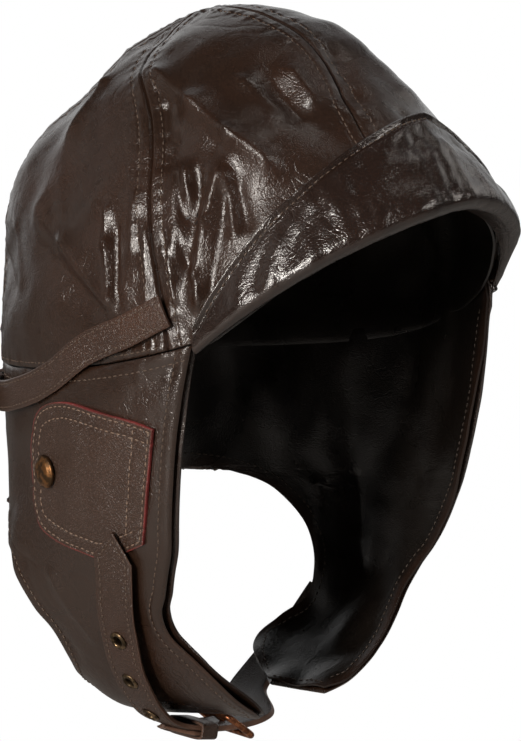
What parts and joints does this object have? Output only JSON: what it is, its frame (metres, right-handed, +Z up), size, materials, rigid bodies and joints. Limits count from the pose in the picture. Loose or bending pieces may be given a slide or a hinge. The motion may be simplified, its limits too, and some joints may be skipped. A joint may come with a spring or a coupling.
{
  "type": "leather flying helmet",
  "caption": "Soft leather flying helmet with a panelled crown, turned-up brim, ear flaps with snap patches and a buckled chin strap.",
  "frame": {"origin": "middle of the head opening, level with the temples, where a head holds the helmet", "axes": "+Z up through the crown, -Y towards the face opening, +X towards the wearer's left"},
  "size_m": [0.173, 0.2271, 0.2822],
  "materials": {
    "leather": "dark brown glossy lambskin with soft folds",
    "brim_leather": "dark brown glossy lambskin with fine creases",
    "patch_leather": "dark brown semi-matt leather, burgundy raw edge",
    "strap_leather": "dark brown semi-matt leather",
    "lining": "black smooth soft lining with a low gloss",
    "snap_brass": "antique copper with dark patches",
    "eyelet_brass": "antique brass",
    "buckle_copper": "coppered bronze"
  },
  "bodies": {
    "root": {"crown_front_left": "leather", "crown_side_left": "leather", "crown_back_left": "leather", "crown_back_right": "leather", "crown_side_right": "leather", "crown_front_right": "leather", "crown_lining": "lining", "brim": "brim_leather", "flap_right": "leather", "flap_lining_right": "lining", "ear_patch_right": "patch_leather", "snap_right": "snap_brass", "flap_left": "leather", "flap_lining_left": "lining", "ear_patch_left": "patch_leather", "snap_left": "snap_brass", "back_strap_right": "strap_leather", "back_strap_left": "strap_leather", "back_tail": "strap_leather", "back_keeper": "strap_leather", "chin_strap": "strap_leather", "eyelet_1": "eyelet_brass", "eyelet_2": "eyelet_brass", "eyelet_3": "eyelet_brass", "chin_chape": "strap_leather", "chin_keeper": "strap_leather", "buckle_frame": "buckle_copper", "buckle_prong": "buckle_copper"}
  },
  "joints": []
}
